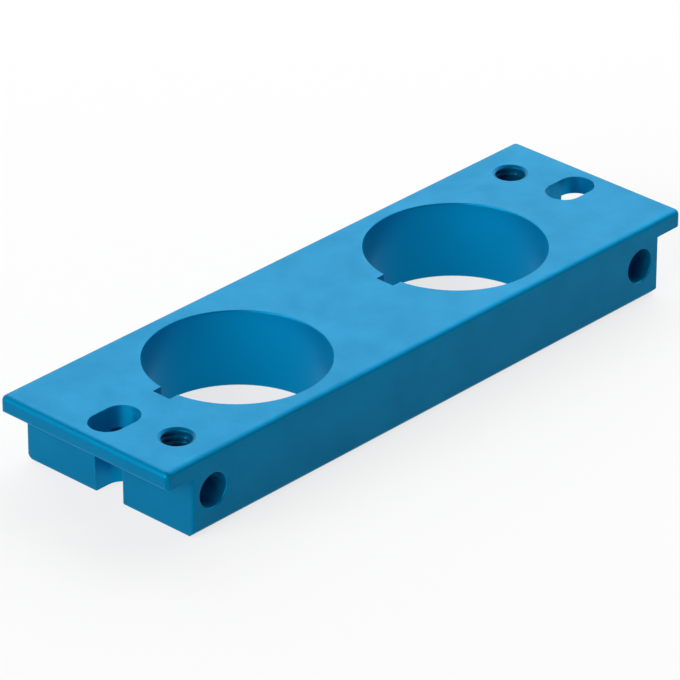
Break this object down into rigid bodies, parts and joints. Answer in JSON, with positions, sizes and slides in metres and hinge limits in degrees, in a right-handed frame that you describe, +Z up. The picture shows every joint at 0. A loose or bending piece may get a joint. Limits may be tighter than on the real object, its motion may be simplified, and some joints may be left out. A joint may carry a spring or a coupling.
{
  "type": "mounting plate",
  "caption": "Blue anodised aluminium mounting plate with keyed through bores, end ledges with fixing slots, tapped holes and cross bores.",
  "frame": {"origin": "middle of the plate in plan, on its underside", "axes": "+X along the plate's length, away from the keyways; +Y across its width; +Z up, out of the top face with the rounded edge"},
  "size_m": [0.165, 0.05, 0.0187],
  "materials": {
    "anodised": "matt blue anodised over a fine bead-blasted surface"
  },
  "bodies": {
    "root": {"mounting_plate": "anodised"}
  },
  "joints": []
}
